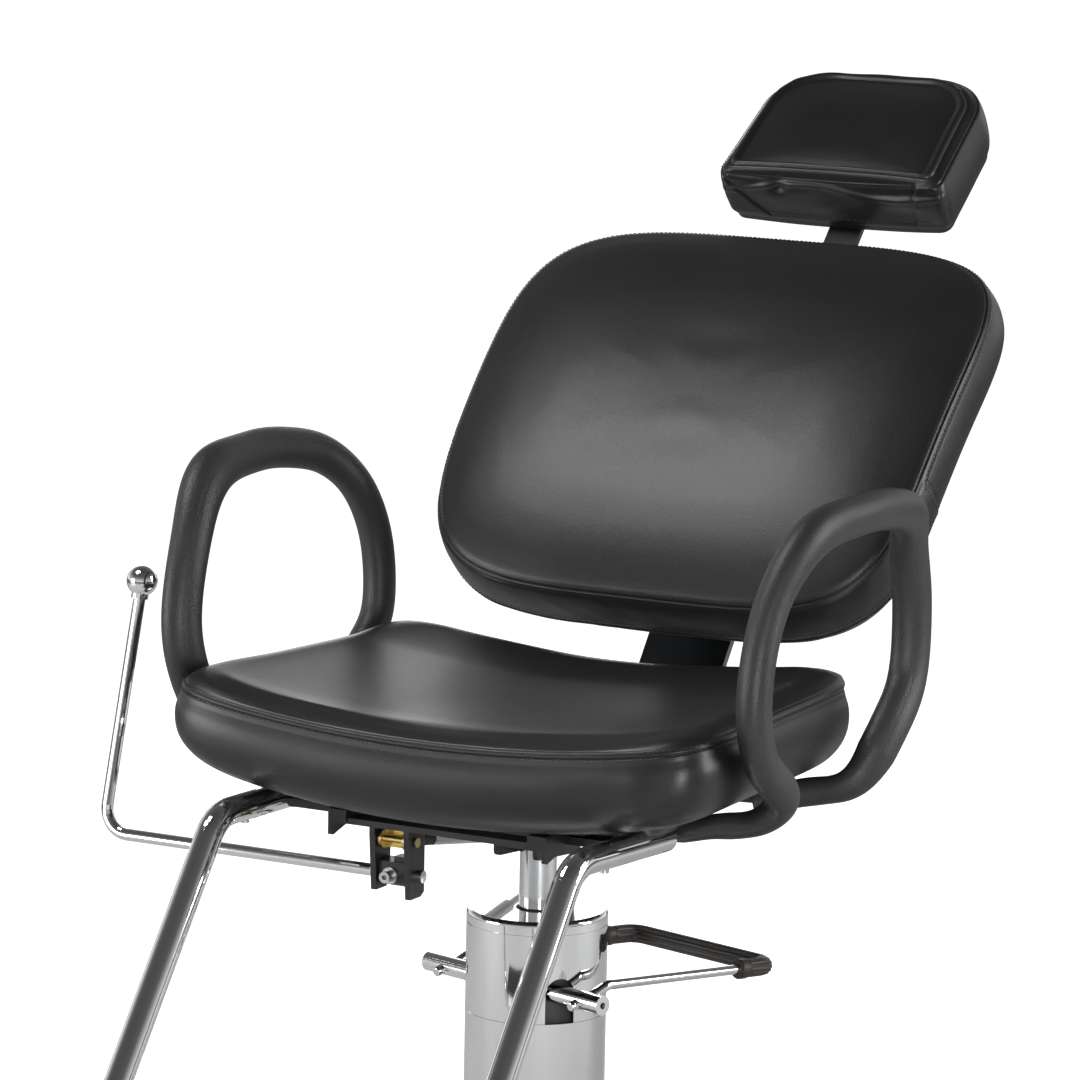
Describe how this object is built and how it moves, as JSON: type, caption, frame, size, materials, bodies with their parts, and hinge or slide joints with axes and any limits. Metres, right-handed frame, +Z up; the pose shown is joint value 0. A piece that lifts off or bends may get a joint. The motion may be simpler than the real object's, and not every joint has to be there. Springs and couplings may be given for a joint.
{
  "type": "hydraulic barber chair",
  "caption": "Reclining barber chair: round base, pump column with pedal, swivel seat with loop arms and footrest, leaning back, sliding headrest, side release lever.",
  "frame": {"origin": "underside of the base, on the column's axis", "axes": "+Z up along the column, -Y the way the sitter faces, +X to the sitter's left"},
  "size_m": [0.815, 1.4031, 1.1251],
  "materials": {
    "chrome": "mirror-bright chromium plating",
    "bare_steel": "machined steel, fine turning marks",
    "dark_fasteners": "blackened steel",
    "cast_iron": "painted cast iron",
    "bronze": "turned bronze",
    "zinc_yellow": "yellow zinc plating",
    "black_rubber": "ribbed moulded rubber, dull",
    "black_painted_steel": "semi-gloss black paint",
    "dark_polished_steel": "dark polished steel",
    "black_vinyl": "smooth black upholstery vinyl, fine grain, soft sheen",
    "black_skin_foam": "skinned foam, fine matte grain",
    "plywood": "sanded plywood"
  },
  "bodies": {
    "base": {"floor_mat": "black_rubber", "base_plate": "cast_iron", "base_cover": "chrome", "base_bolts": "dark_fasteners", "pump_body": "cast_iron", "cylinder_tube": "bare_steel", "pump_head": "cast_iron", "ram_bush": "bronze", "lower_cover": "chrome", "upper_cover": "chrome", "cover_lid": "chrome", "wiper_seal": "black_rubber"},
    "pedal": {"rocker_shaft": "chrome", "shaft_screws": "dark_fasteners", "rocker_cam": "bare_steel", "pedal_rod": "chrome", "pedal_sleeve": "black_rubber"},
    "plunger": {"pump_plunger": "bare_steel"},
    "lift": {"ram": "chrome", "ram_seal": "black_rubber"},
    "seat": {"seat_socket": "black_painted_steel", "mount_plate": "black_painted_steel", "mount_bolts": "dark_fasteners", "seat_rails": "black_painted_steel", "seat_board": "plywood", "seat_cushion": "black_vinyl", "arm_left": "black_skin_foam", "arm_right": "black_skin_foam", "arm_stubs": "black_painted_steel", "frame_screws": "bare_steel", "footrest_frame": "chrome", "foot_plate": "chrome", "foot_tread": "black_rubber", "lock_bracket": "black_painted_steel", "lock_pin": "zinc_yellow", "lock_fork": "zinc_yellow", "lock_coil": "black_painted_steel", "lock_tube": "bare_steel", "hinge_plates": "black_painted_steel", "hinge_pin": "bare_steel"},
    "lever": {"lever_rod": "chrome", "ball_knob": "chrome", "cam_block": "black_painted_steel", "cam_screw": "bare_steel"},
    "lock": {"lock_rod": "bare_steel"},
    "back": {"hinge_tube": "black_painted_steel", "crank_arm": "black_painted_steel", "crank_pin": "bare_steel", "back_bar": "dark_polished_steel", "back_plate": "black_painted_steel", "back_spacers": "black_painted_steel", "back_bolts": "dark_fasteners", "back_board": "plywood", "back_cushion": "black_vinyl", "back_shell": "black_vinyl", "headrest_guide": "black_painted_steel"},
    "headrest": {"headrest_bar": "black_painted_steel", "headrest_plate": "black_painted_steel", "headrest_pad": "black_vinyl"}
  },
  "joints": [
    {"name": "lift_slide", "type": "slide", "parent": "base", "child": "lift", "axis": [0, 0, 1], "range_m": [-0.048, 0.095]},
    {"name": "seat_swivel", "type": "hinge", "parent": "lift", "child": "seat", "pos_m": [0, 0, 0.43], "axis": [0, 0, 1], "continuous": true},
    {"name": "recline", "type": "hinge", "parent": "seat", "child": "back", "pos_m": [0, 0.262, 0.488], "axis": [-1, 0, 0], "range_deg": [-17, 23]},
    {"name": "headrest_slide", "type": "slide", "parent": "back", "child": "headrest", "axis": [0, 0.6884, 0.7254], "range_m": [-0.05, 0.06]},
    {"name": "recline_lever", "type": "hinge", "parent": "seat", "child": "lever", "pos_m": [-0.1035, -0.098, 0.3876], "axis": [1, 0, 0], "range_deg": [-16, 0], "stiffness_Nm_per_rad": 4, "springref_deg": 14.32},
    {"name": "lock_rod_slide", "type": "slide", "parent": "seat", "child": "lock", "axis": [0, 0.9869, -0.1616], "range_m": [-0.05, 0.037]},
    {"name": "pump_pedal", "type": "hinge", "parent": "base", "child": "pedal", "pos_m": [-0.00843, -0.02942, 0.275], "axis": [0.9613, -0.2756, 0], "range_deg": [-14, 5], "stiffness_Nm_per_rad": 9, "springref_deg": 6.88},
    {"name": "plunger_slide", "type": "slide", "parent": "base", "child": "plunger", "axis": [0, 0, 1], "range_m": [-0.0017, 0.0046]}
  ],
  "couplings": [
    {"joint": "lock_rod_slide", "follows": "recline", "m_per_rad": -0.1217},
    {"joint": "plunger_slide", "follows": "pump_pedal", "m_per_rad": -0.018}
  ]
}
